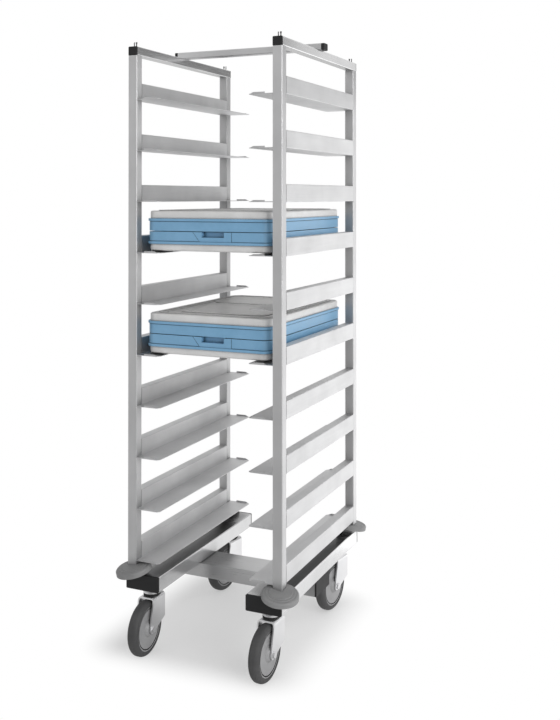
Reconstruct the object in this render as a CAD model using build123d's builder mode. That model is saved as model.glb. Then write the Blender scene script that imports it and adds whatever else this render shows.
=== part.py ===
import os

from build123d import *

os.makedirs("parts", exist_ok=True)

# Tall trolley for insulated meal trays, in millimetres. +Z is up and -Y is the front.
# The origin is on the floor, in the middle between the four posts.

# Overall frame
frame_width = 467.0  # over the outer faces of the left and right posts
frame_depth = 574.0  # over the front and rear faces of the posts
post_height = 1422.0  # from the top of the beam to the head plate

# Square posts with a plate on their heads
post_size = 28.0
post_wall = 1.5
post_corner = 3.0
head_plate = 5.0

# Top tubes and the cross tube that lies over them
top_tube_height = 25.0
top_tube_wall = 1.5
top_tube_corner = 3.0
top_cap = 4.0
cross_tube_depth = 28.0
cross_tube_height = 20.0
cross_cap = 10.0

# End caps with plugs
plug_length = 12.0
plug_clearance = 0.2
cap_edge = 1.0

# Locating studs and pins on the ends of the top tubes
stud_inset = 15.0  # from the end of the top tube
stud_offset = 3.6  # from the tube's centre line
stud_height = 13.0
stud_stem_radius = 1.6
stud_head_radius = 2.4
stud_head_height = 4.0
pin_radius = 1.4

# Floor beams, and the cross tube of the same section under them
beam_width = 102.0
beam_height = 42.0
beam_wall = 2.0
beam_corner = 3.0
beam_overhang = 1.0  # of the tube past the face of the post
beam_cap = 6.0
floor_cross_cap = 5.0

# Tray rails, each a closed box with a flange folded inwards and lips at both ends
rail_pitch = 141.2
first_rail_height = 33.0  # from the top of the beam to the lowest flange
top_rail_gap = 40.0  # least height left free between the top rail and the post's head
rail_height = 47.0
rail_sheet = 1.5
rail_corner = 2.0
flange_reach = 71.0
flange_setback = 1.5  # from the face of the post to the end of the flange
flange_corner = 6.0
lip_height = 4.0
lip_inset = 6.5  # from the flange's inner edge to the foot of the lip
lip_slope = 9.0

# Casters
wheel_diameter = 146.0
tyre_width = 32.0
tyre_thickness = 14.0
tyre_shoulder = 13.0
tyre_seat = 0.1
rim_width = 28.0
rim_lip = 4.0
rim_groove = 3.0
rim_groove_depth = 4.0
disc_setback = 0.5  # of the rim's disc from the edge of the rim on each side
hub_radius = 15.0
hub_flare = 7.0
hub_gap = 0.5  # between the hub and each fork leg
caster_inset = 46.0  # from the face of the post to the swivel axis
caster_trail = 39.5
wheel_gap = 2.5  # between the wheel and the fork's crown
leg_gap = 5.0  # between the tyre and each leg
leg_thickness = 4.0
leg_tip_radius = 12.0
crown_front = 32.0  # from the swivel axis, towards the wheel
crown_rear = 28.0
crown_thickness = 4.0
crown_bend = 9.0  # outer radius of the bend from the crown to each leg
skirt_height = 67.0  # of the part of the legs that is as long as the crown
swivel_gap = 0.4
swivel_clearance = 0.3
seal_height = 6.1
seal_radius = 24.0
race_height = 4.0
race_radius = 25.0
neck_radius = 13.0
neck_height = 16.0
bolt_radius = 6.0
bolt_head_radius = 9.0
bolt_head_height = 6.0
nut_height = 8.0
bolt_clearance = 0.2
axle_radius = 5.0
axle_head_radius = 8.5
axle_head_height = 6.0
axle_clearance = 0.1
hub_clearance = 0.3
thread_end = 2.0  # of thread past a nut

# Angles at which the casters stand, about +Z
front_left_turn = 1.0
front_right_turn = -2.0
rear_left_turn = -8.0
rear_right_turn = -7.0

# Round bumpers about the feet of the posts, leaning down to the outer corners
bumper_radius = 49.0
bumper_tilt = 11.5
bumper_lift = 5.0  # of the middle of the disc's underside over the beam
bumper_shift_x = 8.3  # from the post's centre, to the right in front and to the left behind
bumper_shift_y = 15.0  # from the post's centre, towards the end of the trolley
bumper_wall = 11.0
bumper_shoulder = 3.5
bumper_rings = (40.0, 32.0)
bumper_step = 1.2
bumper_foot = 8.0  # width of the flat foot beside the post
bumper_clearance = 0.4

# Trays: a base and a lid, each a white shell in a coloured frame with a liner inside
tray_side_gap = 17.5  # between the tray's frame and the rail's box
tray_end_gap = 16.0  # between the tray's frame and the lips
tray_headroom = 22.7  # between the lid and the flange above
tray_corner = 28.0
band_proud = 3.0
base_shell_height = 19.0
lid_shell_height = 21.0
tray_seam = 2.0
tray_wall = 3.0
tray_fit = 0.2
deck = 4.0
rim_inset = 22.5  # from the shell's side to the mouth of the liner
mouth_corner = 30.0
foam_gap = 12.0
collar_reach = 4.0
collar_thickness = 3.0
bead_inset = 17.5
bead_width = 3.0
lid_drop = 4.0  # how far the lid's liner enters the base
lid_gap = 0.6
base_edge = 6.0
lid_edge = 5.0
rib_strip = 7.5
groove_height = 1.5
groove_depth = 1.2
ridge_inset = 14.0
ridge_width = 10.0
lid_ridge = 2.0
lid_panel_inset = 34.0
lid_panel_depth = 1.2
runner_width = 4.7
runner_setback = 28.0  # from the tray's end to the runner's end
lip_clearance = 1.0  # of the tray's underside over the lips
lip_gap = 0.8  # between the lips and the runner

# Finger recess and the plain panel round it, on the front of the base
recess_x = 21.0
recess_width = 68.0
recess_depth = 17.0
recess_sill = 12.0  # of band left under the recess
recess_wall = 4.0
panel_left = 60.0  # from the middle of the recess, at the seam
panel_slant = 21.0
panel_right = 56.0

# Places in the rack, counted from the top
upper_tray_place = 4
lower_tray_place = 6

# Derived places
post_x = (frame_width - post_size) / 2
post_y = (frame_depth - post_size) / 2
inner_x = frame_width / 2 - post_size
beam_x = (frame_width - beam_width) / 2
beam_end = frame_depth / 2 + beam_overhang
crown_bottom = wheel_diameter + wheel_gap
crown_top = crown_bottom + crown_thickness
seal_bottom = crown_top + swivel_gap
race_bottom = seal_bottom + seal_height
beam_bottom = race_bottom + race_height + neck_height
beam_top = beam_bottom + beam_height
head_bottom = beam_top + post_height
top_tube_bottom = head_bottom + head_plate
top_tube_top = top_tube_bottom + top_tube_height
top_tube_end = frame_depth / 2 - top_cap
caster_y = frame_depth / 2 - caster_inset
wheel_radius = wheel_diameter / 2
levels = int((post_height - first_rail_height - rail_height - top_rail_gap) // rail_pitch) + 1
level_heights = [beam_top + first_rail_height + rail_pitch * n for n in range(levels)]

corners = {
    "front_left": (-1, -1, front_left_turn),
    "front_right": (1, -1, front_right_turn),
    "rear_left": (-1, 1, rear_left_turn),
    "rear_right": (1, 1, rear_right_turn),
}
sides = {"left": -1, "right": 1}

# Posts, standing on the beams
for name, (side, end, turn) in corners.items():
    with BuildPart() as post:
        with BuildSketch(Plane.XY.offset(beam_top)):
            with Locations((side * post_x, end * post_y)):
                RectangleRounded(post_size, post_size, post_corner)
                RectangleRounded(
                    post_size - 2 * post_wall,
                    post_size - 2 * post_wall,
                    post_corner - post_wall,
                    mode=Mode.SUBTRACT,
                )
        extrude(amount=post_height)
    post.part.label = f"{name}_post"
    export_step(post.part, f"parts/{name}_post.step")

# Plates that close the posts under the top tubes
with BuildPart() as post_heads:
    with BuildSketch(Plane.XY.offset(head_bottom)):
        with GridLocations(2 * post_x, 2 * post_y, 2, 2):
            RectangleRounded(post_size, post_size, post_corner)
    extrude(amount=head_plate)
post_heads.part.label = "post_heads"
export_step(post_heads.part, "parts/post_heads.step")

# Top tubes, running from front to back over the posts
for name, side in sides.items():
    with BuildPart() as top_tube:
        with BuildSketch(Plane.XZ):
            with Locations((side * post_x, top_tube_bottom + top_tube_height / 2)):
                RectangleRounded(post_size, top_tube_height, top_tube_corner)
                RectangleRounded(
                    post_size - 2 * top_tube_wall,
                    top_tube_height - 2 * top_tube_wall,
                    top_tube_corner - top_tube_wall,
                    mode=Mode.SUBTRACT,
                )
        extrude(amount=top_tube_end, both=True)
    top_tube.part.label = f"{name}_top_tube"
    export_step(top_tube.part, f"parts/{name}_top_tube.step")

# Cross tube on the two top tubes
with BuildPart() as top_cross_tube:
    with BuildSketch(Plane.YZ):
        with Locations((0, top_tube_top + cross_tube_height / 2)):
            RectangleRounded(cross_tube_depth, cross_tube_height, top_tube_corner)
            RectangleRounded(
                cross_tube_depth - 2 * top_tube_wall,
                cross_tube_height - 2 * top_tube_wall,
                top_tube_corner - top_tube_wall,
                mode=Mode.SUBTRACT,
            )
    extrude(amount=frame_width / 2, both=True)
top_cross_tube.part.label = "top_cross_tube"
export_step(top_cross_tube.part, "parts/top_cross_tube.step")

# Caps in the ends of the top tubes, flush with the posts
with BuildPart() as top_cap_blank:
    with BuildSketch(Plane.XZ.offset(top_tube_end)):
        RectangleRounded(post_size, top_tube_height, top_tube_corner)
    extrude(amount=top_cap)
    chamfer(top_cap_blank.faces().sort_by(Axis.Y)[0].edges(), cap_edge)
    with BuildSketch(Plane.XZ.offset(top_tube_end)):
        Rectangle(
            post_size - 2 * top_tube_wall - 2 * plug_clearance,
            top_tube_height - 2 * top_tube_wall - 2 * plug_clearance,
        )
        fillet(vertices(), top_tube_corner - top_tube_wall)
    extrude(amount=-plug_length)

with BuildPart() as top_tube_caps:
    with Locations(
        (-post_x, 0, top_tube_bottom + top_tube_height / 2),
        (post_x, 0, top_tube_bottom + top_tube_height / 2),
    ):
        add(top_cap_blank.part)
    mirror(about=Plane.XZ)
top_tube_caps.part.label = "top_tube_caps"
export_step(top_tube_caps.part, "parts/top_tube_caps.step")

# Longer caps in the ends of the cross tube
with BuildPart() as cross_tube_caps:
    with BuildSketch(Plane.YZ.offset(frame_width / 2)):
        with Locations((0, top_tube_top + cross_tube_height / 2)):
            RectangleRounded(cross_tube_depth, cross_tube_height, top_tube_corner)
    extrude(amount=cross_cap)
    chamfer(cross_tube_caps.faces().sort_by(Axis.X)[-1].edges(), cap_edge)
    with BuildSketch(Plane.YZ.offset(frame_width / 2)):
        with Locations((0, top_tube_top + cross_tube_height / 2)):
            RectangleRounded(
                cross_tube_depth - 2 * top_tube_wall - 2 * plug_clearance,
                cross_tube_height - 2 * top_tube_wall - 2 * plug_clearance,
                top_tube_corner - top_tube_wall,
            )
    extrude(amount=-plug_length)
    mirror(about=Plane.YZ)
cross_tube_caps.part.label = "cross_tube_caps"
export_step(cross_tube_caps.part, "parts/cross_tube_caps.step")

# A headed stud and a thin pin stand side by side at each end of the top tubes
stud_y = frame_depth / 2 - stud_inset
stud_spots = []
pin_spots = []
for side, end, turn in corners.values():
    stud_spots.append((side * post_x - end * stud_offset, end * stud_y))
    pin_spots.append((side * post_x + end * stud_offset, end * stud_y))

with BuildPart() as top_studs:
    with BuildSketch(Plane.XY.offset(top_tube_top)):
        with Locations(*stud_spots):
            Circle(stud_stem_radius)
    extrude(amount=stud_height)
    with BuildSketch(Plane.XY.offset(top_tube_top + stud_height - stud_head_height)):
        with Locations(*stud_spots):
            Circle(stud_head_radius)
    extrude(amount=stud_head_height)
top_studs.part.label = "top_studs"
export_step(top_studs.part, "parts/top_studs.step")

with BuildPart() as top_pins:
    with BuildSketch(Plane.XY.offset(top_tube_top)):
        with Locations(*pin_spots):
            Circle(pin_radius)
    extrude(amount=stud_height)
top_pins.part.label = "top_pins"
export_step(top_pins.part, "parts/top_pins.step")

# Wide floor beams, holed underneath for the caster bolts
for name, side in sides.items():
    with BuildPart() as beam:
        with BuildSketch(Plane.XZ):
            with Locations((side * beam_x, beam_bottom + beam_height / 2)):
                RectangleRounded(beam_width, beam_height, beam_corner)
                RectangleRounded(
                    beam_width - 2 * beam_wall,
                    beam_height - 2 * beam_wall,
                    beam_corner - beam_wall,
                    mode=Mode.SUBTRACT,
                )
        extrude(amount=beam_end, both=True)
        with BuildSketch(Plane.XY.offset(beam_bottom)):
            with Locations((side * beam_x, -caster_y), (side * beam_x, caster_y)):
                Circle(bolt_radius + bolt_clearance)
        extrude(amount=beam_wall, mode=Mode.SUBTRACT)
    beam.part.label = f"{name}_beam"
    export_step(beam.part, f"parts/{name}_beam.step")

# Cross tube under the beams
floor_cross_end = frame_width / 2 - floor_cross_cap
with BuildPart() as floor_cross_tube:
    with BuildSketch(Plane.YZ):
        with Locations((0, beam_bottom - beam_height / 2)):
            RectangleRounded(beam_width, beam_height, beam_corner)
            RectangleRounded(
                beam_width - 2 * beam_wall,
                beam_height - 2 * beam_wall,
                beam_corner - beam_wall,
                mode=Mode.SUBTRACT,
            )
    extrude(amount=floor_cross_end, both=True)
floor_cross_tube.part.label = "floor_cross_tube"
export_step(floor_cross_tube.part, "parts/floor_cross_tube.step")

# Caps in the ends of the beams
with BuildPart() as beam_cap_blank:
    with BuildSketch(Plane.XZ.offset(beam_end)):
        RectangleRounded(beam_width, beam_height, beam_corner)
    extrude(amount=beam_cap)
    chamfer(beam_cap_blank.faces().sort_by(Axis.Y)[0].edges(), cap_edge)
    with BuildSketch(Plane.XZ.offset(beam_end)):
        RectangleRounded(
            beam_width - 2 * beam_wall - 2 * plug_clearance,
            beam_height - 2 * beam_wall - 2 * plug_clearance,
            beam_corner - beam_wall,
        )
    extrude(amount=-plug_length)

with BuildPart() as beam_caps:
    with Locations(
        (-beam_x, 0, beam_bottom + beam_height / 2),
        (beam_x, 0, beam_bottom + beam_height / 2),
    ):
        add(beam_cap_blank.part)
    mirror(about=Plane.XZ)
beam_caps.part.label = "beam_caps"
export_step(beam_caps.part, "parts/beam_caps.step")

# Caps in the ends of the floor cross tube, flush with the beams
with BuildPart() as floor_cross_caps:
    with BuildSketch(Plane.YZ.offset(floor_cross_end)):
        with Locations((0, beam_bottom - beam_height / 2)):
            RectangleRounded(beam_width, beam_height, beam_corner)
    extrude(amount=floor_cross_cap)
    chamfer(floor_cross_caps.faces().sort_by(Axis.X)[-1].edges(), cap_edge)
    with BuildSketch(Plane.YZ.offset(floor_cross_end)):
        with Locations((0, beam_bottom - beam_height / 2)):
            RectangleRounded(
                beam_width - 2 * beam_wall - 2 * plug_clearance,
                beam_height - 2 * beam_wall - 2 * plug_clearance,
                beam_corner - beam_wall,
            )
    extrude(amount=-plug_length)
    mirror(about=Plane.YZ)
floor_cross_caps.part.label = "floor_cross_caps"
export_step(floor_cross_caps.part, "parts/floor_cross_caps.step")

# Sizes of the tray that the rails are shaped for
tray_width = frame_width - 2 * post_size - 2 * tray_side_gap
tray_depth = frame_depth - 2 * flange_setback - 2 * rail_sheet - 2 * tray_end_gap
tray_height = rail_pitch - rail_sheet - tray_headroom
runner_inner = tray_width / 2 - runner_width

# One right-hand rail, with the underside of its flange at height zero
flange_inner = inner_x - flange_reach
flange_end = frame_depth / 2 - flange_setback
lip_foot = flange_inner + lip_inset
lip_end = runner_inner - lip_gap
with BuildPart() as rail:
    with BuildSketch(Plane.XZ) as rail_section:
        with Locations((post_x, rail_height / 2)):
            Rectangle(post_size, rail_height)
        fillet(
            [v for v in rail_section.vertices() if v.X > post_x or v.Y > rail_height / 2],
            rail_corner,
        )
        with Locations((post_x, rail_height / 2)):
            Rectangle(
                post_size - 2 * rail_sheet,
                rail_height - 2 * rail_sheet,
                mode=Mode.SUBTRACT,
            )
    extrude(amount=frame_depth / 2 - post_size, both=True)
    with BuildSketch(Plane.XY) as flange_outline:
        with Locations((inner_x - flange_reach / 2, 0)):
            Rectangle(flange_reach, 2 * flange_end)
        chamfer(flange_outline.vertices().sort_by(Axis.X)[:2], flange_corner)
    extrude(amount=rail_sheet)
    with BuildSketch(Plane.XZ.offset(flange_end)):
        with BuildLine():
            Polyline(
                (lip_foot, rail_sheet),
                (lip_foot + lip_slope, rail_sheet + lip_height),
                (lip_end, rail_sheet + lip_height),
                (lip_end, rail_sheet),
                close=True,
            )
        make_face()
    extrude(amount=-rail_sheet)
    mirror(about=Plane.XZ)

# The rails of each side, one above the other
with BuildPart() as right_rails:
    with Locations(*[(0, 0, height) for height in level_heights]):
        add(rail.part)
right_rails.part.label = "right_rails"
export_step(right_rails.part, "parts/right_rails.step")

with BuildPart() as left_rails:
    mirror(right_rails.part, about=Plane.YZ)
left_rails.part.label = "left_rails"
export_step(left_rails.part, "parts/left_rails.step")

# Bumper discs with a rounded shoulder and two low rings, each on a flat foot beside the post
bumper_edge = bumper_radius - bumper_shoulder
bumper_top = bumper_wall + bumper_shoulder
with BuildPart() as bumper_blank:
    with BuildSketch(Plane.XZ) as bumper_section:
        with BuildLine():
            Polyline(
                (0, 0),
                (bumper_radius, 0),
                (bumper_radius, bumper_wall),
                (bumper_edge, bumper_top),
                (bumper_rings[0], bumper_top),
                (bumper_rings[0] - bumper_step, bumper_top + bumper_step),
                (bumper_rings[1], bumper_top + bumper_step),
                (bumper_rings[1] - bumper_step, bumper_top + 2 * bumper_step),
                (0, bumper_top + 2 * bumper_step),
                close=True,
            )
        make_face()
        fillet(
            [v for v in bumper_section.vertices() if v.X > bumper_rings[0] and v.Y > 0],
            bumper_shoulder,
        )
    revolve(axis=Axis.Z)

foot_size = post_size + bumper_foot
for name, (side, end, turn) in corners.items():
    lean_axis = Axis((0, 0, 0), (-end, side, 0))
    bumper_plane = Plane(
        origin=(
            side * post_x - end * bumper_shift_x,
            end * (post_y + bumper_shift_y),
            beam_top + bumper_lift,
        ),
        x_dir=lean_axis.direction,
        z_dir=Vector(0, 0, 1).rotate(lean_axis, bumper_tilt),
    )
    with BuildPart() as bumper:
        with Locations(bumper_plane):
            add(bumper_blank.part)
        with BuildSketch(Plane.XY.offset(beam_top)):
            with Locations((side * (frame_width - foot_size) / 2, end * (frame_depth - foot_size) / 2)):
                RectangleRounded(foot_size, foot_size, post_corner)
        extrude(amount=bumper_lift + bumper_wall)
        with BuildSketch(Plane.XY.offset(beam_top)):
            with Locations((side * post_x, end * post_y)):
                RectangleRounded(
                    post_size + 2 * bumper_clearance,
                    post_size + 2 * bumper_clearance,
                    post_corner + bumper_clearance,
                )
        extrude(amount=first_rail_height, mode=Mode.SUBTRACT)
    bumper.part.label = f"{name}_bumper"
    export_step(bumper.part, f"parts/{name}_bumper.step")

# Swivel heads: a neck and race under the beam, a dark seal, and the bolt through them
bolt_head_top = crown_bottom - swivel_gap
nut_bottom = beam_bottom + beam_wall
with BuildPart() as swivel_races:
    with BuildSketch(Plane.XY.offset(race_bottom)):
        with GridLocations(2 * beam_x, 2 * caster_y, 2, 2):
            Circle(race_radius)
            Circle(bolt_radius + bolt_clearance, mode=Mode.SUBTRACT)
    extrude(amount=race_height)
    with BuildSketch(Plane.XY.offset(race_bottom + race_height)):
        with GridLocations(2 * beam_x, 2 * caster_y, 2, 2):
            Circle(neck_radius)
            Circle(bolt_radius + bolt_clearance, mode=Mode.SUBTRACT)
    extrude(amount=neck_height)
swivel_races.part.label = "swivel_races"
export_step(swivel_races.part, "parts/swivel_races.step")

with BuildPart() as swivel_seals:
    with BuildSketch(Plane.XY.offset(seal_bottom)):
        with GridLocations(2 * beam_x, 2 * caster_y, 2, 2):
            Circle(seal_radius)
            Circle(bolt_radius + bolt_clearance, mode=Mode.SUBTRACT)
    extrude(amount=seal_height)
swivel_seals.part.label = "swivel_seals"
export_step(swivel_seals.part, "parts/swivel_seals.step")

with BuildPart() as swivel_bolts:
    with BuildSketch(Plane.XY.offset(bolt_head_top - bolt_head_height)):
        with GridLocations(2 * beam_x, 2 * caster_y, 2, 2):
            RegularPolygon(bolt_head_radius, 6)
    extrude(amount=bolt_head_height)
    with BuildSketch(Plane.XY.offset(bolt_head_top)):
        with GridLocations(2 * beam_x, 2 * caster_y, 2, 2):
            Circle(bolt_radius)
    extrude(amount=nut_bottom + nut_height + thread_end - bolt_head_top)
    with BuildSketch(Plane.XY.offset(nut_bottom)):
        with GridLocations(2 * beam_x, 2 * caster_y, 2, 2):
            RegularPolygon(bolt_head_radius, 6)
            Circle(bolt_radius + axle_clearance, mode=Mode.SUBTRACT)
    extrude(amount=nut_height)
swivel_bolts.part.label = "swivel_bolts"
export_step(swivel_bolts.part, "parts/swivel_bolts.step")

# Caster fork, axle and wheel about a swivel axis at the origin, trailing to the front
leg_inner = tyre_width / 2 + leg_gap
leg_outer = leg_inner + leg_thickness
axle_line = Location((0, -caster_trail, wheel_radius), (0, 90, 0))
wheel_axis = Axis((0, -caster_trail, wheel_radius), (1, 0, 0))
wheel_plane = Plane(origin=(0, -caster_trail, wheel_radius), x_dir=(1, 0, 0), z_dir=(0, -1, 0))
fork_reach = caster_trail + leg_tip_radius
with BuildPart() as fork_blank:
    with BuildSketch(Plane.XZ) as fork_outside:
        with Locations((0, crown_top / 2)):
            Rectangle(2 * leg_outer, crown_top)
        fillet(fork_outside.vertices().sort_by(Axis.Y)[-2:], crown_bend)
    extrude(amount=fork_reach, both=True)
    with BuildSketch(Plane.XZ) as fork_inside:
        with Locations((0, crown_bottom / 2)):
            Rectangle(2 * leg_inner, crown_bottom)
        fillet(fork_inside.vertices().sort_by(Axis.Y)[-2:], crown_bend - crown_thickness)
    extrude(amount=fork_reach, both=True, mode=Mode.SUBTRACT)
    with BuildSketch(Plane.YZ):
        with Locations((-caster_trail, wheel_radius)):
            Circle(leg_tip_radius)
        with Locations(((crown_rear - crown_front) / 2, crown_top - skirt_height / 2)):
            Rectangle(crown_front + crown_rear, skirt_height)
        make_hull()
    extrude(amount=leg_outer, both=True, mode=Mode.INTERSECT)
    with Locations(axle_line):
        Cylinder(axle_radius + axle_clearance, 2 * leg_outer, mode=Mode.SUBTRACT)
    with BuildSketch(Plane.XY.offset(crown_bottom)):
        Circle(bolt_radius + swivel_clearance)
    extrude(amount=crown_thickness, mode=Mode.SUBTRACT)

with BuildPart() as axle_blank:
    with BuildSketch(wheel_plane):
        with BuildLine():
            Polyline(
                (-leg_outer - axle_head_height - thread_end, 0),
                (leg_outer, 0),
                (leg_outer, axle_radius),
                (-leg_outer - axle_head_height - thread_end, axle_radius),
                close=True,
            )
        make_face()
    revolve(axis=wheel_axis)
    with BuildSketch(Plane.YZ.offset(leg_outer)):
        with Locations((-caster_trail, wheel_radius)):
            RegularPolygon(axle_head_radius, 6)
    extrude(amount=axle_head_height)
    with BuildSketch(Plane.YZ.offset(-leg_outer)):
        with Locations((-caster_trail, wheel_radius)):
            RegularPolygon(axle_head_radius, 6)
            Circle(axle_radius + axle_clearance, mode=Mode.SUBTRACT)
    extrude(amount=-axle_head_height)

rim_radius = wheel_radius - tyre_thickness - tyre_seat
disc_radius = rim_radius - rim_lip - rim_groove
hub_half = leg_inner - hub_gap
disc_half = rim_width / 2 - disc_setback
with BuildPart() as rim_blank:
    with BuildSketch(wheel_plane):
        with BuildLine():
            Polyline(
                (0, axle_radius + hub_clearance),
                (hub_half, axle_radius + hub_clearance),
                (hub_half, hub_radius),
                (disc_half, hub_radius + hub_flare),
                (disc_half, disc_radius),
                (rim_width / 2 - rim_groove_depth, disc_radius),
                (rim_width / 2 - rim_groove_depth, disc_radius + rim_groove),
                (rim_width / 2, disc_radius + rim_groove),
                (rim_width / 2, rim_radius),
                (0, rim_radius),
                close=True,
            )
        make_face()
        mirror(about=Plane.YZ)
    revolve(axis=wheel_axis)

with BuildPart() as tyre_blank:
    with BuildSketch(wheel_plane) as tyre_section:
        with Locations((0, wheel_radius - tyre_thickness / 2)):
            Rectangle(tyre_width, tyre_thickness)
        fillet(tyre_section.vertices().sort_by(Axis.Y)[-2:], tyre_shoulder)
    revolve(axis=wheel_axis)

for name, (side, end, turn) in corners.items():
    caster_place = Location((side * beam_x, end * caster_y, 0), (0, 0, turn))
    with BuildPart() as fork:
        with Locations(caster_place):
            add(fork_blank.part)
    fork.part.label = f"{name}_fork"
    export_step(fork.part, f"parts/{name}_fork.step")

    with BuildPart() as axle:
        with Locations(caster_place):
            add(axle_blank.part)
    axle.part.label = f"{name}_axle"
    export_step(axle.part, f"parts/{name}_axle.step")

    with BuildPart() as rim:
        with Locations(caster_place):
            add(rim_blank.part)
    rim.part.label = f"{name}_rim"
    export_step(rim.part, f"parts/{name}_rim.step")

    with BuildPart() as tyre:
        with Locations(caster_place):
            add(tyre_blank.part)
    tyre.part.label = f"{name}_tyre"
    export_step(tyre.part, f"parts/{name}_tyre.step")

# Heights in a tray, from the flange that it stands on
shell_width = tray_width - 2 * band_proud
shell_depth = tray_depth - 2 * band_proud
shell_corner = tray_corner - band_proud
mouth_width = shell_width - 2 * rim_inset
mouth_depth = shell_depth - 2 * rim_inset
shell_bottom = lip_height + lip_clearance
shells_height = shell_bottom + base_shell_height + lid_shell_height + lid_ridge
band_height = (tray_height - shells_height - tray_seam) / 2
base_band = shell_bottom + base_shell_height
seam_bottom = base_band + band_height
seam_top = seam_bottom + tray_seam
cover_bottom = seam_top + band_height
cover_top = cover_bottom + lid_shell_height
liner_bottom = shell_bottom + tray_wall + foam_gap
lid_liner_top = cover_top - tray_wall - foam_gap
recess_bottom = base_band + rib_strip + recess_sill
tray_front = tray_depth / 2

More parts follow.
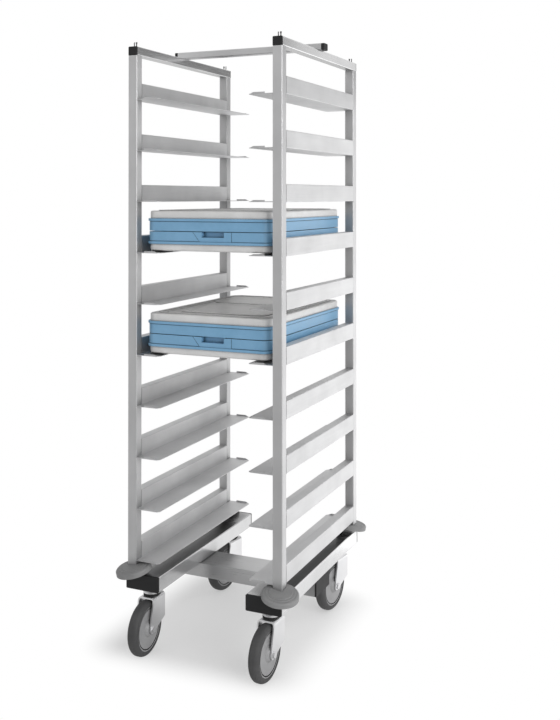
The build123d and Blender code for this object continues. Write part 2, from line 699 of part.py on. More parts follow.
trays = {
    "upper": level_heights[levels - upper_tray_place] + rail_sheet,
    "lower": level_heights[levels - lower_tray_place] + rail_sheet,
}
for name, foot in trays.items():
    # White pan under the base, with a runner along each side and a notch for the recess
    with BuildPart() as base_shell:
        with BuildSketch(Plane.XY.offset(foot + shell_bottom)):
            RectangleRounded(shell_width, shell_depth, shell_corner)
        extrude(amount=seam_bottom - deck - shell_bottom)
        fillet(base_shell.faces().sort_by(Axis.Z)[0].edges(), base_edge)
        with BuildSketch(Plane.XY.offset(foot + shell_bottom + tray_wall)):
            RectangleRounded(
                shell_width - 2 * tray_wall,
                shell_depth - 2 * tray_wall,
                shell_corner - tray_wall,
            )
        extrude(amount=band_height + base_shell_height, mode=Mode.SUBTRACT)
        with BuildSketch(Plane.XY.offset(foot)):
            with Locations(
                (-tray_width / 2 + runner_width / 2, 0),
                (tray_width / 2 - runner_width / 2, 0),
            ):
                Rectangle(runner_width, tray_depth - 2 * runner_setback)
        extrude(amount=base_band - tray_fit)
        with BuildSketch(Plane.XZ.offset(tray_front)):
            with Locations(
                (recess_x, foot + (recess_bottom - recess_wall - tray_fit + seam_bottom) / 2)
            ):
                Rectangle(
                    recess_width + 2 * recess_wall + 2 * tray_fit,
                    seam_bottom - recess_bottom + recess_wall + tray_fit,
                )
        extrude(amount=-recess_depth, mode=Mode.SUBTRACT)
    base_shell.part.label = f"{name}_base_shell"
    export_step(base_shell.part, f"parts/{name}_base_shell.step")

    # Coloured frame round the base: a band outside, a deck on top and a bead for the lid
    with BuildPart() as base_frame:
        with BuildSketch(Plane.XY.offset(foot + base_band)):
            RectangleRounded(tray_width, tray_depth, tray_corner)
        extrude(amount=band_height)
        with BuildSketch(Plane.XY.offset(foot + base_band)):
            RectangleRounded(
                shell_width + 2 * tray_fit,
                shell_depth + 2 * tray_fit,
                shell_corner + tray_fit,
            )
        extrude(amount=band_height - deck, mode=Mode.SUBTRACT)
        with BuildSketch(Plane.XY.offset(foot + seam_bottom)):
            RectangleRounded(mouth_width, mouth_depth, mouth_corner)
        extrude(amount=-deck, mode=Mode.SUBTRACT)
        with BuildSketch(Plane.XY.offset(foot + seam_bottom)):
            RectangleRounded(
                shell_width - 2 * bead_inset,
                shell_depth - 2 * bead_inset,
                mouth_corner + bead_width,
            )
            RectangleRounded(
                shell_width - 2 * bead_inset - 2 * bead_width,
                shell_depth - 2 * bead_inset - 2 * bead_width,
                mouth_corner,
                mode=Mode.SUBTRACT,
            )
        extrude(amount=tray_seam)
        with BuildSketch(Plane.XZ.offset(tray_front)):
            with Locations((recess_x, foot + (recess_bottom - recess_wall + seam_bottom) / 2)):
                Rectangle(
                    recess_width + 2 * recess_wall,
                    seam_bottom - recess_bottom + recess_wall,
                )
        extrude(amount=-recess_depth - recess_wall)
        with BuildSketch(Plane.XZ.offset(tray_front)):
            with Locations((recess_x, foot + (recess_bottom + seam_bottom) / 2)):
                Rectangle(recess_width, seam_bottom - recess_bottom)
        extrude(amount=-recess_depth, mode=Mode.SUBTRACT)
        with BuildSketch(Plane.XY.offset(foot + base_band + rib_strip)):
            RectangleRounded(tray_width, tray_depth, tray_corner)
            RectangleRounded(
                tray_width - 2 * groove_depth,
                tray_depth - 2 * groove_depth,
                tray_corner - groove_depth,
                mode=Mode.SUBTRACT,
            )
            with Locations((recess_x + (panel_right - panel_left + panel_slant) / 2, -tray_front)):
                Rectangle(
                    panel_left - panel_slant + panel_right,
                    2 * tray_corner,
                    mode=Mode.SUBTRACT,
                )
        extrude(amount=groove_height, mode=Mode.SUBTRACT)
        with BuildSketch(Plane.XZ.offset(tray_front)):
            with BuildLine():
                Polyline(
                    (recess_x - panel_left + panel_slant, foot + base_band + rib_strip),
                    (recess_x - panel_left, foot + seam_bottom),
                    (recess_x - panel_left - groove_height, foot + seam_bottom),
                    (
                        recess_x - panel_left + panel_slant - groove_height,
                        foot + base_band + rib_strip,
                    ),
                    close=True,
                )
            make_face()
            with Locations(
                (
                    recess_x + panel_right + groove_height / 2,
                    foot + (base_band + rib_strip + seam_bottom) / 2,
                )
            ):
                Rectangle(groove_height, seam_bottom - base_band - rib_strip)
        extrude(amount=-groove_depth, mode=Mode.SUBTRACT)
    base_frame.part.label = f"{name}_base_frame"
    export_step(base_frame.part, f"parts/{name}_base_frame.step")

    # Liner pan of the base, hung by its collar under the deck
    with BuildPart() as base_liner:
        with BuildSketch(Plane.XY.offset(foot + liner_bottom)):
            RectangleRounded(
                mouth_width - 2 * tray_fit,
                mouth_depth - 2 * tray_fit,
                mouth_corner - tray_fit,
            )
        extrude(amount=seam_bottom - liner_bottom)
        with BuildSketch(Plane.XY.offset(foot + seam_bottom - deck)):
            RectangleRounded(
                mouth_width + 2 * collar_reach,
                mouth_depth + 2 * collar_reach,
                mouth_corner + collar_reach,
            )
        extrude(amount=-collar_thickness)
        with BuildSketch(Plane.XY.offset(foot + liner_bottom + tray_wall)):
            RectangleRounded(
                mouth_width - 2 * tray_fit - 2 * tray_wall,
                mouth_depth - 2 * tray_fit - 2 * tray_wall,
                mouth_corner - tray_fit - tray_wall,
            )
        extrude(amount=seam_bottom - liner_bottom, mode=Mode.SUBTRACT)
    base_liner.part.label = f"{name}_base_liner"
    export_step(base_liner.part, f"parts/{name}_base_liner.step")

    # Coloured frame round the lid, lying on the bead of the base
    with BuildPart() as lid_frame:
        with BuildSketch(Plane.XY.offset(foot + seam_top)):
            RectangleRounded(tray_width, tray_depth, tray_corner)
            RectangleRounded(mouth_width, mouth_depth, mouth_corner, mode=Mode.SUBTRACT)
        extrude(amount=band_height)
        with BuildSketch(Plane.XY.offset(foot + seam_top + deck)):
            RectangleRounded(
                shell_width + 2 * tray_fit,
                shell_depth + 2 * tray_fit,
                shell_corner + tray_fit,
            )
        extrude(amount=band_height - deck, mode=Mode.SUBTRACT)
        with BuildSketch(Plane.XY.offset(foot + cover_bottom - rib_strip)):
            RectangleRounded(tray_width, tray_depth, tray_corner)
            RectangleRounded(
                tray_width - 2 * groove_depth,
                tray_depth - 2 * groove_depth,
                tray_corner - groove_depth,
                mode=Mode.SUBTRACT,
            )
        extrude(amount=-groove_height, mode=Mode.SUBTRACT)
    lid_frame.part.label = f"{name}_lid_frame"
    export_step(lid_frame.part, f"parts/{name}_lid_frame.step")

    # White cover of the lid, with a stacking ridge and a sunk panel on top
    with BuildPart() as lid_shell:
        with BuildSketch(Plane.XY.offset(foot + seam_top + deck)):
            RectangleRounded(shell_width, shell_depth, shell_corner)
        extrude(amount=cover_top - seam_top - deck)
        fillet(lid_shell.faces().sort_by(Axis.Z)[-1].edges(), lid_edge)
        with BuildSketch(Plane.XY.offset(foot + seam_top + deck)):
            RectangleRounded(
                shell_width - 2 * tray_wall,
                shell_depth - 2 * tray_wall,
                shell_corner - tray_wall,
            )
        extrude(amount=cover_top - seam_top - deck - tray_wall, mode=Mode.SUBTRACT)
        with BuildSketch(Plane.XY.offset(foot + cover_top)):
            RectangleRounded(
                shell_width - 2 * ridge_inset,
                shell_depth - 2 * ridge_inset,
                shell_corner + ridge_width,
            )
            RectangleRounded(
                shell_width - 2 * ridge_inset - 2 * ridge_width,
                shell_depth - 2 * ridge_inset - 2 * ridge_width,
                shell_corner,
                mode=Mode.SUBTRACT,
            )
        extrude(amount=lid_ridge)
        with BuildSketch(Plane.XY.offset(foot + cover_top)):
            RectangleRounded(
                shell_width - 2 * lid_panel_inset,
                shell_depth - 2 * lid_panel_inset,
                shell_corner,
            )
        extrude(amount=-lid_panel_depth, mode=Mode.SUBTRACT)
    lid_shell.part.label = f"{name}_lid_shell"
    export_step(lid_shell.part, f"parts/{name}_lid_shell.step")

    # Liner of the lid, lying on the lid's deck and dropping into the base
    with BuildPart() as lid_liner:
        with BuildSketch(Plane.XY.offset(foot + seam_bottom - lid_drop)):
            RectangleRounded(
                mouth_width - 2 * tray_fit - 2 * tray_wall - 2 * lid_gap,
                mouth_depth - 2 * tray_fit - 2 * tray_wall - 2 * lid_gap,
                mouth_corner - tray_fit - tray_wall - lid_gap,
            )
        extrude(amount=lid_liner_top - seam_bottom + lid_drop)
        with BuildSketch(Plane.XY.offset(foot + seam_top + deck)):
            RectangleRounded(
                mouth_width + 2 * collar_reach,
                mouth_depth + 2 * collar_reach,
                mouth_corner + collar_reach,
            )
        extrude(amount=collar_thickness)
        with BuildSketch(Plane.XY.offset(foot + seam_bottom - lid_drop)):
            RectangleRounded(
                mouth_width - 2 * tray_fit - 4 * tray_wall - 2 * lid_gap,
                mouth_depth - 2 * tray_fit - 4 * tray_wall - 2 * lid_gap,
                mouth_corner - tray_fit - 2 * tray_wall - lid_gap,
            )
        extrude(amount=lid_liner_top - tray_wall - seam_bottom + lid_drop, mode=Mode.SUBTRACT)
    lid_liner.part.label = f"{name}_lid_liner"
    export_step(lid_liner.part, f"parts/{name}_lid_liner.step")
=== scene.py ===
import math

import bpy
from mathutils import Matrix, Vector


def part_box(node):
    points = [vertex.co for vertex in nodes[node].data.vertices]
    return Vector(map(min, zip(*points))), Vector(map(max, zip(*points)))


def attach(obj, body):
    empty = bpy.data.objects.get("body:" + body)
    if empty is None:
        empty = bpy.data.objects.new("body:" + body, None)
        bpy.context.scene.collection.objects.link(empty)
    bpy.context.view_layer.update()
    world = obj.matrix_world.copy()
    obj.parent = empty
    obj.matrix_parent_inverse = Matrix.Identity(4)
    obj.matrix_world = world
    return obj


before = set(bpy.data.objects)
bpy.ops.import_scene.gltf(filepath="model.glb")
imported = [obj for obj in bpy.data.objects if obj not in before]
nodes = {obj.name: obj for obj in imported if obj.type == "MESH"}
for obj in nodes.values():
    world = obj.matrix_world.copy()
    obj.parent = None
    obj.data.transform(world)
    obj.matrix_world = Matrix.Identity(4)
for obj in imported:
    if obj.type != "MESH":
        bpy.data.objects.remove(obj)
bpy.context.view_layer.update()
scene = bpy.context.scene
corners = ("front_left", "front_right", "rear_left", "rear_right")
trays = ("upper", "lower")

# Shader helpers
first_tone, second_tone, mixed_tone = 6, 7, 2  # colour sockets of a Mix node
noise_range = (0.3, 0.7)  # where most values of a noise lie
gap_range = (0.40, 0.85)  # from a deep gap to open air
brush_depth = 0.0006
grain_depth = 0.0004
gloss_stretch = 0.6  # of brushed steel, across the brush lines


def shader_node(tree, kind, **settings):
    node = tree.nodes.new(kind)
    for name, value in settings.items():
        if name in node.inputs:
            node.inputs[name].default_value = value
        else:
            setattr(node, name, value)
    return node


def spread(tree, value, source, target=(0.0, 1.0), kind="LINEAR"):
    node = shader_node(tree, "ShaderNodeMapRange", interpolation_type=kind)
    node.inputs["From Min"].default_value, node.inputs["From Max"].default_value = source
    node.inputs["To Min"].default_value, node.inputs["To Max"].default_value = target
    tree.links.new(value, node.inputs["Value"])
    return node.outputs["Result"]


def combine(tree, operation, first, second):
    node = shader_node(tree, "ShaderNodeMath", operation=operation)
    tree.links.new(first, node.inputs[0])
    tree.links.new(second, node.inputs[1])
    return node.outputs["Value"]


def vector_step(tree, operation, vector, amount=(0.0, 0.0, 0.0)):
    node = shader_node(tree, "ShaderNodeVectorMath", operation=operation)
    node.inputs[1].default_value = amount
    tree.links.new(vector, node.inputs[0])
    return node.outputs["Value" if operation == "LENGTH" else "Vector"]


def mix_shaders(tree, share, first, second):
    node = shader_node(tree, "ShaderNodeMixShader")
    tree.links.new(share, node.inputs["Fac"])
    tree.links.new(first, node.inputs[1])
    tree.links.new(second, node.inputs[2])
    return node.outputs["Shader"]


def bearing_ramp(tree, vector, levels):
    # Grey levels by bearing in degrees: 0 is the back, 90 the right and 180 the front
    parts = shader_node(tree, "ShaderNodeSeparateXYZ")
    tree.links.new(vector, parts.inputs["Vector"])
    bearing = combine(tree, "ARCTAN2", parts.outputs["X"], parts.outputs["Y"])
    ramp = shader_node(tree, "ShaderNodeValToRGB")
    stops = ramp.color_ramp.elements
    stops.remove(stops[1])
    stops[0].position = 0.0
    for angle, level in levels:
        stop = stops[0] if angle == -180 else stops.new((angle + 180) / 360)
        stop.color = (level, level, level, 1.0)
    tree.links.new(spread(tree, bearing, (-math.pi, math.pi)), ramp.inputs["Fac"])
    return ramp.outputs["Color"]


# Groups that the finishes share

def make_group(name, inputs, outputs):
    tree = bpy.data.node_groups.new(name, "ShaderNodeTree")
    for label, kind, value in inputs:
        tree.interface.new_socket(label, in_out="INPUT", socket_type=kind).default_value = value
    for label in outputs:
        tree.interface.new_socket(label, in_out="OUTPUT", socket_type="NodeSocketFloat")
    return tree, tree.nodes.new("NodeGroupInput"), tree.nodes.new("NodeGroupOutput")


def brushed_group():
    tree, given, result = make_group(
        "brushed_lines", [("Stretch", "NodeSocketVector", (1.0, 1.0, 1.0))], ["Lines", "Cloud"]
    )
    place = shader_node(tree, "ShaderNodeTexCoord")
    stretch = shader_node(tree, "ShaderNodeMapping")
    lines = shader_node(tree, "ShaderNodeTexNoise", Scale=1.0, Detail=5.0, Roughness=0.65)
    cloud = shader_node(tree, "ShaderNodeTexNoise", Scale=7.0, Detail=3.0, Roughness=0.55)
    tree.links.new(place.outputs["Object"], stretch.inputs["Vector"])
    tree.links.new(given.outputs["Stretch"], stretch.inputs["Scale"])
    tree.links.new(stretch.outputs["Vector"], lines.inputs["Vector"])
    tree.links.new(place.outputs["Object"], cloud.inputs["Vector"])
    tree.links.new(lines.outputs["Fac"], result.inputs["Lines"])
    tree.links.new(cloud.outputs["Fac"], result.inputs["Cloud"])
    return tree


def moulded_group():
    tree, given, result = make_group(
        "moulded_skin", [("Grain", "NodeSocketFloat", 700.0)], ["Grain", "Mottle"]
    )
    place = shader_node(tree, "ShaderNodeTexCoord")
    grain = shader_node(tree, "ShaderNodeTexNoise", Detail=2.0, Roughness=0.5)
    mottle = shader_node(tree, "ShaderNodeTexNoise", Scale=16.0, Detail=4.0, Roughness=0.6)
    tree.links.new(place.outputs["Object"], grain.inputs["Vector"])
    tree.links.new(given.outputs["Grain"], grain.inputs["Scale"])
    tree.links.new(place.outputs["Object"], mottle.inputs["Vector"])
    tree.links.new(grain.outputs["Fac"], result.inputs["Grain"])
    tree.links.new(mottle.outputs["Fac"], result.inputs["Mottle"])
    return tree


# Painted shade: ambient occlusion darkens a finish's base colour in gaps and under nearby parts
def gap_group():
    tree, given, result = make_group(
        "gap_shade",
        [("Reach", "NodeSocketFloat", 0.01), ("Shade", "NodeSocketFloat", 0.3)],
        ["Light"],
    )
    gap = shader_node(tree, "ShaderNodeAmbientOcclusion", samples=8)
    light = spread(tree, gap.outputs["AO"], gap_range)
    tree.links.new(given.outputs["Reach"], gap.inputs["Distance"])
    tree.links.new(given.outputs["Shade"], light.node.inputs["To Min"])
    tree.links.new(light, result.inputs["Light"])
    return tree


brushed = brushed_group()
moulded = moulded_group()
gap_shade = gap_group()


# Finishes

def new_finish(name, metallic):
    material = bpy.data.materials.new(name)
    material.use_nodes = True
    tree = material.node_tree
    shader = tree.nodes["Principled BSDF"]
    shader.inputs["Metallic"].default_value = metallic
    return material, tree, shader


def two_tone(tree, shader, mask, dark, light):
    tone = shader_node(tree, "ShaderNodeMix", data_type="RGBA")
    tone.inputs[first_tone].default_value = (*dark, 1.0)
    tone.inputs[second_tone].default_value = (*light, 1.0)
    tree.links.new(spread(tree, mask, noise_range), tone.inputs["Factor"])
    tree.links.new(tone.outputs[mixed_tone], shader.inputs["Base Color"])


def rough_range(tree, shader, mask, limits):
    tree.links.new(spread(tree, mask, noise_range, limits), shader.inputs["Roughness"])


def relief(tree, shader, height, strength, distance):
    bump = shader_node(tree, "ShaderNodeBump", Strength=strength, Distance=distance)
    tree.links.new(height, bump.inputs["Height"])
    tree.links.new(bump.outputs["Normal"], shader.inputs["Normal"])


# Paints the shade from the gap group into the base colour
def shaded_gaps(tree, shader, reach, shade):
    tone = shader.inputs["Base Color"].links[0].from_socket
    gap = shader_node(tree, "ShaderNodeGroup", node_tree=gap_shade)
    gap.inputs["Reach"].default_value = reach
    gap.inputs["Shade"].default_value = shade
    darker = shader_node(
        tree, "ShaderNodeMix", data_type="RGBA", blend_type="MULTIPLY", Factor=1.0
    )
    tree.links.new(tone, darker.inputs[first_tone])
    tree.links.new(gap.outputs["Light"], darker.inputs[second_tone])
    tree.links.new(darker.outputs[mixed_tone], shader.inputs["Base Color"])


def brushed_steel(name, stretch, tones, rough, strength=0.06, around=None, gaps=None):
    material, tree, shader = new_finish(name, 1.0)
    if around:
        across = shader_node(tree, "ShaderNodeTangent", direction_type="RADIAL", axis=around)
        tree.links.new(across.outputs["Tangent"], shader.inputs["Tangent"])
        shader.inputs["Anisotropic"].default_value = gloss_stretch
    brush = shader_node(tree, "ShaderNodeGroup", node_tree=brushed)
    brush.inputs["Stretch"].default_value = stretch
    two_tone(tree, shader, brush.outputs["Cloud"], *tones)
    rough_range(tree, shader, brush.outputs["Lines"], rough)
    relief(tree, shader, brush.outputs["Lines"], strength, brush_depth)
    if gaps:
        shaded_gaps(tree, shader, *gaps)
    return material


def moulded_plastic(name, tones, rough, grain=700.0, strength=0.08, gaps=None):
    material, tree, shader = new_finish(name, 0.0)
    skin = shader_node(tree, "ShaderNodeGroup", node_tree=moulded)
    skin.inputs["Grain"].default_value = grain
    two_tone(tree, shader, skin.outputs["Mottle"], *tones)
    rough_range(tree, shader, skin.outputs["Mottle"], rough)
    relief(tree, shader, skin.outputs["Grain"], strength, grain_depth)
    if gaps:
        shaded_gaps(tree, shader, *gaps)
    return material


# Noise scales along and across the brush lines; gaps are painted shade in the base colour, given as
# (reach in metres, darkest share)
brush_long, brush_fine = 7.0, 520.0
along_x = (brush_long, brush_fine, brush_fine)
along_y = (brush_fine, brush_long, brush_fine)
along_z = (brush_fine, brush_fine, brush_long)
zinc_mottle = (40.0, 40.0, 40.0)
stud_mottle = (80.0, 80.0, 80.0)
steel_tones = ((0.66, 0.66, 0.665), (0.76, 0.76, 0.765))
zinc_tones = ((0.80, 0.80, 0.81), (0.90, 0.90, 0.91))
stud_tones = ((0.08, 0.08, 0.08), (0.14, 0.14, 0.14))
cap_tones = ((0.006, 0.006, 0.007), (0.014, 0.014, 0.015))
seal_tones = ((0.010, 0.010, 0.010), (0.018, 0.018, 0.018))
bumper_tones = ((0.225, 0.225, 0.227), (0.30, 0.30, 0.302))
tyre_tones = ((0.055, 0.055, 0.056), (0.090, 0.090, 0.091))
rim_tones = ((0.30, 0.30, 0.305), (0.39, 0.39, 0.395))
white_tones = ((0.66, 0.655, 0.65), (0.76, 0.755, 0.75))
liner_tones = ((0.70, 0.70, 0.70), (0.78, 0.78, 0.78))
blue_tones = ((0.175, 0.375, 0.575), (0.215, 0.43, 0.645))
tray_gaps = (0.010, 0.30)

# Painted shade from the gaps: posts darker beside rails and trays, beams under the lowest rails, the
# floor tube under the beams, rim grooves, bumper rings and tray seams
post_steel = brushed_steel(
    "post_steel", along_z, steel_tones, rough=(0.46, 0.56), around="Z", gaps=(0.15, 0.55)
)
rail_steel = brushed_steel("rail_steel", along_y, steel_tones, rough=(0.48, 0.58), around="Y")
tube_steel = brushed_steel("tube_steel", along_y, steel_tones, rough=(0.13, 0.22), around="Y")
cross_steel = brushed_steel("cross_steel", along_x, steel_tones, rough=(0.32, 0.44), around="X")
beam_steel = brushed_steel(
    "beam_steel", along_y, steel_tones, rough=(0.13, 0.24), around="Y", gaps=(0.12, 0.38)
)
floor_steel = brushed_steel(
    "floor_steel", along_x, steel_tones, rough=(0.26, 0.38), around="X", gaps=(0.15, 0.40)
)
zinc = brushed_steel("zinc_plate", zinc_mottle, zinc_tones, rough=(0.28, 0.40), strength=0.03)
stud_metal = brushed_steel("stud_metal", stud_mottle, stud_tones, rough=(0.35, 0.50), strength=0.03)
black_plastic = moulded_plastic("black_plastic", cap_tones, rough=(0.50, 0.65))
seal_plastic = moulded_plastic("seal_plastic", seal_tones, rough=(0.50, 0.65))
bumper_rubber = moulded_plastic(
    "bumper_rubber", bumper_tones, rough=(0.42, 0.60), grain=500.0, strength=0.15, gaps=(0.006, 0.40)
)
tyre_rubber = moulded_plastic(
    "tyre_rubber", tyre_tones, rough=(0.55, 0.75), grain=420.0, strength=0.2
)
rim_plastic = moulded_plastic("rim_plastic", rim_tones, rough=(0.38, 0.5), gaps=(0.008, 0.06))
white_plastic = moulded_plastic("white_plastic", white_tones, rough=(0.30, 0.42), gaps=tray_gaps)
liner_plastic = moulded_plastic("liner_plastic", liner_tones, rough=(0.28, 0.38))
blue_plastic = moulded_plastic("blue_plastic", blue_tones, rough=(0.30, 0.42), gaps=tray_gaps)


def dress(material, *names):
    for name in names:
        node = nodes[name]
        node.data.materials.clear()
        node.data.materials.append(material)


dress(post_steel, *[f"{corner}_post" for corner in corners], "post_heads")
dress(rail_steel, "left_rails", "right_rails")
dress(tube_steel, "left_top_tube", "right_top_tube")
dress(cross_steel, "top_cross_tube")
dress(beam_steel, "left_beam", "right_beam")
dress(floor_steel, "floor_cross_tube")
dress(stud_metal, "top_studs", "top_pins")
dress(black_plastic, "top_tube_caps", "cross_tube_caps", "beam_caps", "floor_cross_caps")
dress(seal_plastic, "swivel_seals")
dress(zinc, "swivel_races", "swivel_bolts")
for corner in corners:
    dress(bumper_rubber, f"{corner}_bumper")
    dress(zinc, f"{corner}_fork", f"{corner}_axle")
    dress(rim_plastic, f"{corner}_rim")
    dress(tyre_rubber, f"{corner}_tyre")
for tray in trays:
    dress(white_plastic, f"{tray}_base_shell", f"{tray}_lid_shell")
    dress(liner_plastic, f"{tray}_base_liner", f"{tray}_lid_liner")
    dress(blue_plastic, f"{tray}_base_frame", f"{tray}_lid_frame")

# Lips round the tray frames and raised panels with a shallow dish on the lids
frame_corner = 0.028
lip_proud = 0.003
lip_height = 0.0072
lip_grip = 0.0008  # how far the lip reaches into the frame
lip_edge = 0.0012
panel_sink = 0.0036  # of the panel's foot below the top of the stacking ridge
panel_rise = 0.0034
panel_corner = 0.034
panel_edge = 0.0008
panel_rim = 0.012
dish_slope = 0.003
dish_depth = 0.0012
corner_steps = 8
edge_steps = 3
edge_angle = math.radians(40)
smooth_angle = math.radians(35)
lid_panels = {
    "front": ((-0.124, -0.206), (0.146, 0.022)),
    "rear": ((-0.146, 0.040), (0.140, 0.222)),
}


def rounded_sheet(name, low, high, level, corner):
    middle = ((low[0] + high[0]) / 2, (low[1] + high[1]) / 2, level)
    bpy.ops.object.select_all(action="DESELECT")
    bpy.ops.mesh.primitive_plane_add(size=1.0, location=middle)
    sheet = bpy.context.object
    sheet.name = name
    bpy.ops.object.mode_set(mode="EDIT")
    bpy.ops.mesh.select_mode(type="FACE")
    bpy.ops.mesh.select_all(action="SELECT")
    bpy.ops.transform.resize(
        value=(high[0] - low[0], high[1] - low[1], 1.0), center_override=middle
    )
    bpy.ops.mesh.bevel(offset=corner, segments=corner_steps, affect="VERTICES")
    bpy.ops.mesh.select_all(action="SELECT")
    return sheet


def raise_sheet(height):
    bpy.ops.mesh.extrude_region_move(TRANSFORM_OT_translate={"value": (0.0, 0.0, height)})


def finish_moulding(piece, edge, material):
    bpy.ops.mesh.select_all(action="SELECT")
    bpy.ops.mesh.normals_make_consistent(inside=False)
    bpy.ops.object.mode_set(mode="OBJECT")
    bpy.ops.object.transform_apply(location=True, rotation=True, scale=True)
    soften = piece.modifiers.new("soft_edge", "BEVEL")
    soften.width = edge
    soften.segments = edge_steps
    soften.limit_method = "ANGLE"
    soften.angle_limit = edge_angle
    bpy.ops.object.modifier_apply(modifier=soften.name)
    bpy.ops.object.shade_smooth_by_angle(angle=smooth_angle)
    piece.data.materials.append(material)


def frame_lip(name, node, foot):
    low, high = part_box(node)
    outer_low = (low[0] - lip_proud, low[1] - lip_proud)
    outer_high = (high[0] + lip_proud, high[1] + lip_proud)
    lip = rounded_sheet(name, outer_low, outer_high, foot, frame_corner + lip_proud)
    bpy.ops.mesh.inset(thickness=lip_proud + lip_grip)
    bpy.ops.mesh.delete(type="FACE")
    bpy.ops.mesh.select_all(action="SELECT")
    raise_sheet(lip_height)
    finish_moulding(lip, lip_edge, blue_plastic)
    return lip


def lid_panel(name, node, place):
    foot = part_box(node)[1][2] - panel_sink
    panel = rounded_sheet(name, *place, foot, panel_corner)
    raise_sheet(panel_rise)
    bpy.ops.mesh.inset(thickness=panel_rim)
    bpy.ops.mesh.inset(thickness=dish_slope, depth=-dish_depth)
    finish_moulding(panel, panel_edge, white_plastic)
    return panel


def copy_below(piece, name, drop):
    bpy.ops.object.select_all(action="DESELECT")
    piece.select_set(True)
    bpy.context.view_layer.objects.active = piece
    bpy.ops.object.duplicate(linked=False)
    copy = bpy.context.object
    copy.name = name
    copy.location.z = -drop
    bpy.ops.object.transform_apply(location=True, rotation=True, scale=True)
    return copy


# Made for the upper tray and copied for the lower one
base_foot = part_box("upper_base_frame")[0][2]
lid_lip_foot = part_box("upper_lid_frame")[1][2] - lip_height
tray_drop = base_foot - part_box("lower_base_frame")[0][2]
base_lip = frame_lip("upper_base_lip", "upper_base_frame", base_foot)
lid_lip = frame_lip("upper_lid_lip", "upper_lid_frame", lid_lip_foot)
mouldings = [
    ("base_lip", base_lip, "tray", "blue_frame"),
    ("lid_lip", lid_lip, "lid", "blue_frame"),
]
for end, place in lid_panels.items():
    panel = lid_panel(f"upper_{end}_panel", "upper_lid_shell", place)
    mouldings.append((f"{end}_panel", panel, "lid", "white_shell"))
for kind, piece, part, slot in mouldings:
    lower_piece = copy_below(piece, f"lower_{kind}", tray_drop)
    for tray, moulding in zip(trays, (piece, lower_piece)):
        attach(moulding, f"{tray}_{part}")

# Studio floor: white for the camera, with a painted pool of shadow under the trolley through which
# the floor's real shading shows
floor_size = 14.0
paper_tone = (0.93, 0.93, 0.93, 1.0)
paper_rough = 0.9
paper_gloss = 0.1
# Partly painted shadow: the pool's place, size and soft edge are painted, and inside it the lamps'
# real shading and shadows on the floor show
pool_offset = (0.04, 0.0, 0.0)
pool_half_size = (0.21, 0.24, 0.0)
pool_fade = (0.0, 0.15)  # distances past the pool's core
pool_white = (0.40, 1.0)  # share of plain white there
# Painted shadow: the floor that metal sees is darker under the trolley
reflected_shadow_fade = (0.0, 0.14)
reflected_shadow_levels = (0.62, 1.0)  # of the floor that metal sees
# Painted reflection: metal sees the floor as a glow, brightest behind the trolley, a little less to
# the sides and darkest in front
floor_levels = (
    (-180, 0.35), (-150, 0.55), (-90, 0.7), (-45, 0.8), (0, 1.0), (40, 1.0), (90, 0.9), (180, 0.35),
)


def floor_paper():
    paper = bpy.data.materials.new("floor_paper")
    paper.use_nodes = True
    tree = paper.node_tree
    base = tree.nodes["Principled BSDF"]
    base.inputs["Base Color"].default_value = paper_tone
    base.inputs["Roughness"].default_value = paper_rough
    base.inputs["Specular IOR Level"].default_value = paper_gloss
    glow = shader_node(tree, "ShaderNodeEmission", Strength=1.0)
    path = shader_node(tree, "ShaderNodeLightPath")
    camera_ray = path.outputs["Is Camera Ray"]
    spot = shader_node(tree, "ShaderNodeTexCoord").outputs["Object"]
    centred = vector_step(tree, "ADD", spot, pool_offset)
    mirrored = vector_step(tree, "ABSOLUTE", centred)
    beyond = vector_step(tree, "SUBTRACT", mirrored, pool_half_size)
    distance = vector_step(tree, "LENGTH", vector_step(tree, "MAXIMUM", beyond))
    # Painted shadow under the trolley in the floor glow that metal sees
    under = spread(tree, distance, reflected_shadow_fade, reflected_shadow_levels, "SMOOTHSTEP")
    # Painted shadow pool: the camera sees less plain white inside it
    fade = spread(tree, distance, pool_fade, pool_white, "SMOOTHSTEP")
    # The glow that metal sees is painted: its level by bearing, darkened under the trolley
    lit = combine(tree, "MULTIPLY", bearing_ramp(tree, spot, floor_levels), under)
    tree.links.new(combine(tree, "MAXIMUM", lit, camera_ray), glow.inputs["Color"])
    white_share = combine(tree, "MULTIPLY", camera_ray, fade)
    share = combine(tree, "MAXIMUM", white_share, path.outputs["Is Glossy Ray"])
    surface = mix_shaders(tree, share, base.outputs["BSDF"], glow.outputs["Emission"])
    tree.links.new(surface, tree.nodes["Material Output"].inputs["Surface"])
    return paper


bpy.ops.object.select_all(action="DESELECT")
bpy.ops.mesh.primitive_plane_add(size=floor_size, location=(0.0, 0.0, 0.0))
floor = bpy.context.object
floor.name = "studio_floor"
floor.data.materials.append(floor_paper())

# White backdrop for the camera; metal sees walls that are lighter and darker by bearing
walls = (
    (-180, 0.16), (-162, 0.20), (-148, 0.95), (-120, 1.0), (-90, 0.55), (-60, 0.55), (-15, 0.60),
    (5, 0.80), (14, 1.0), (22, 1.0), (28, 0.80), (40, 0.60), (60, 0.45), (120, 0.30), (180, 0.16),
)
upper_walls = (
    (-180, 0.20), (-150, 0.75), (-120, 0.80), (-90, 0.50), (-45, 0.72), (-10, 0.72), (15, 0.95),
    (22.5, 0.95), (25, 0.12), (28, 0.06), (31.5, 0.30), (40, 0.25), (60, 0.05), (120, 0.20),
    (180, 0.20),
)
wall_heights = (-0.02, 0.16)  # where the walls give way to the upper walls
room_heights = (-0.05, 0.55)
room_levels = (1.0, 0.38)  # of the soft light, from the floor's edge up


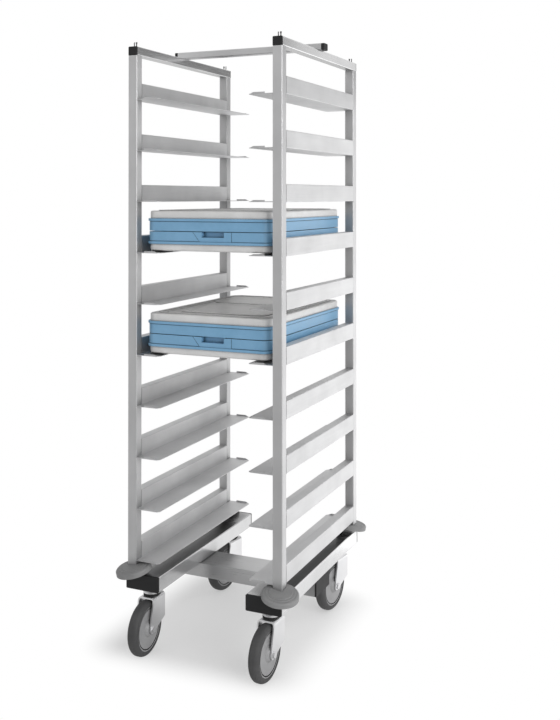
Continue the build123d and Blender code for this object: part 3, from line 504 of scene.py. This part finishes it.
def studio_room():
    world = bpy.data.worlds.new("studio")
    world.use_nodes = True
    tree = world.node_tree
    room = tree.nodes["Background"]
    mirror = shader_node(tree, "ShaderNodeBackground", Strength=1.0)
    white = shader_node(tree, "ShaderNodeBackground", Color=(1.0, 1.0, 1.0, 1.0), Strength=1.0)
    path = shader_node(tree, "ShaderNodeLightPath")
    direction = shader_node(tree, "ShaderNodeTexCoord").outputs["Generated"]
    parts = shader_node(tree, "ShaderNodeSeparateXYZ")
    tree.links.new(direction, parts.inputs["Vector"])
    height = parts.outputs["Z"]
    soft_light = spread(tree, height, room_heights, room_levels, "SMOOTHSTEP")
    tree.links.new(soft_light, room.inputs["Color"])
    climb = spread(tree, height, wall_heights, kind="SMOOTHSTEP")
    reflected = shader_node(tree, "ShaderNodeMix", data_type="RGBA")
    tree.links.new(climb, reflected.inputs["Factor"])
    tree.links.new(bearing_ramp(tree, direction, walls), reflected.inputs[first_tone])
    tree.links.new(bearing_ramp(tree, direction, upper_walls), reflected.inputs[second_tone])
    tree.links.new(reflected.outputs[mixed_tone], mirror.inputs["Color"])
    shiny = combine(
        tree, "MAXIMUM", path.outputs["Is Glossy Ray"], path.outputs["Is Transmission Ray"]
    )
    lit_room = mix_shaders(tree, shiny, room.outputs["Background"], mirror.outputs["Background"])
    surface = mix_shaders(
        tree, path.outputs["Is Camera Ray"], lit_room, white.outputs["Background"]
    )
    tree.links.new(surface, tree.nodes["World Output"].inputs["Surface"])
    return world


scene.world = studio_room()


def softbox(name, place, aim, size, watts):
    lamp = bpy.data.lights.new(name, "AREA")
    lamp.shape = "RECTANGLE"
    lamp.size, lamp.size_y = size
    lamp.energy = watts
    holder = bpy.data.objects.new(name, lamp)
    scene.collection.objects.link(holder)
    holder.location = place
    holder.rotation_euler = (Vector(aim) - Vector(place)).to_track_quat("-Z", "Y").to_euler()
    holder.visible_camera = False


softbox(
    "right_panel", place=(0.62, 0.60, 0.80), aim=(0.2, -0.45, 0.80), size=(0.7, 1.6), watts=1.8
)
softbox("key_softbox", place=(3.0, -1.7, 1.9), aim=(0.0, 0.0, 0.7), size=(2.6, 2.6), watts=62.0)

# Camera at the photograph's place, nearly level, with the view shifted down
camera_place = (1.2352, -2.5592, 1.2565)
camera_tilt = math.radians(90.47)
camera_turn = math.radians(23.79)
camera = bpy.data.objects.new("camera", bpy.data.cameras.new("camera"))
scene.collection.objects.link(camera)
camera.location = camera_place
camera.rotation_euler = (camera_tilt, 0.0, camera_turn)
camera.data.sensor_fit = "AUTO"
camera.data.sensor_width = 36.0
camera.data.lens = 48.19
camera.data.shift_x = -0.0031
camera.data.shift_y = -0.2378
scene.camera = camera
scene.view_settings.view_transform = "Standard"
